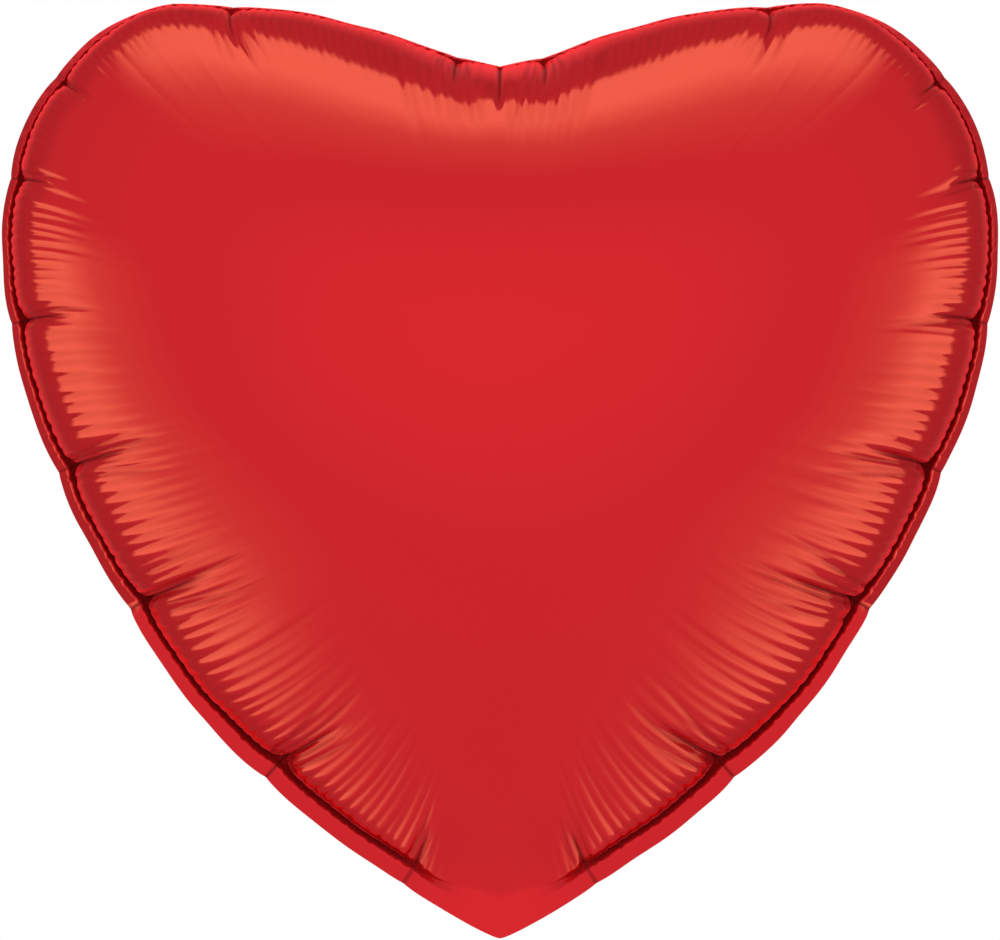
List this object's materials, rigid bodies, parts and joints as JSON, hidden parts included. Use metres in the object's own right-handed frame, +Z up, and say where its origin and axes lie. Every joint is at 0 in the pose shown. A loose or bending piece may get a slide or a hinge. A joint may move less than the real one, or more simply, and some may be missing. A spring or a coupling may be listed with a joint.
{
  "type": "heart-shaped foil balloon",
  "caption": "Inflated heart-shaped foil balloon: two metallised films welded along a flat rim, a folded tail at the tip and a self-sealing valve inside.",
  "frame": {"origin": "bottom tip of the heart, in the middle plane of the welded rim", "axes": "+Z up from the tip to the cleft, front film towards -Y, +X to the right seen from the front"},
  "size_m": [0.3908, 0.1694, 0.3667],
  "materials": {
    "front_film": "gloss",
    "back_film": "gloss",
    "tail_film": "gloss",
    "weld": "satin",
    "valve_ply": "satin",
    "release_coat": "matte"
  },
  "bodies": {
    "balloon_body": {"front_panel": "front_film", "back_panel": "back_film", "perimeter_weld": "weld", "valve_root_front_ply": "valve_ply", "valve_root_back_ply": "valve_ply", "valve_release_coat": "release_coat"},
    "tail": {"tail_front_film": "tail_film", "tail_back_film": "tail_film", "tail_weld_left": "weld", "tail_weld_right": "weld"},
    "valve_tube": {"valve_front_ply": "valve_ply", "valve_back_ply": "valve_ply", "valve_weld_left": "weld", "valve_weld_right": "weld"}
  },
  "joints": [
    {"name": "tail_fold", "type": "hinge", "parent": "balloon_body", "child": "tail", "pos_m": [0, 0.001, 0.0008], "axis": [-1, 0, 0], "range_deg": [0, 155]},
    {"name": "valve_sway", "type": "hinge", "parent": "balloon_body", "child": "valve_tube", "pos_m": [0, 0, 0.029], "axis": [1, 0, 0], "range_deg": [-25, 25], "stiffness_Nm_per_rad": 0.002}
  ]
}
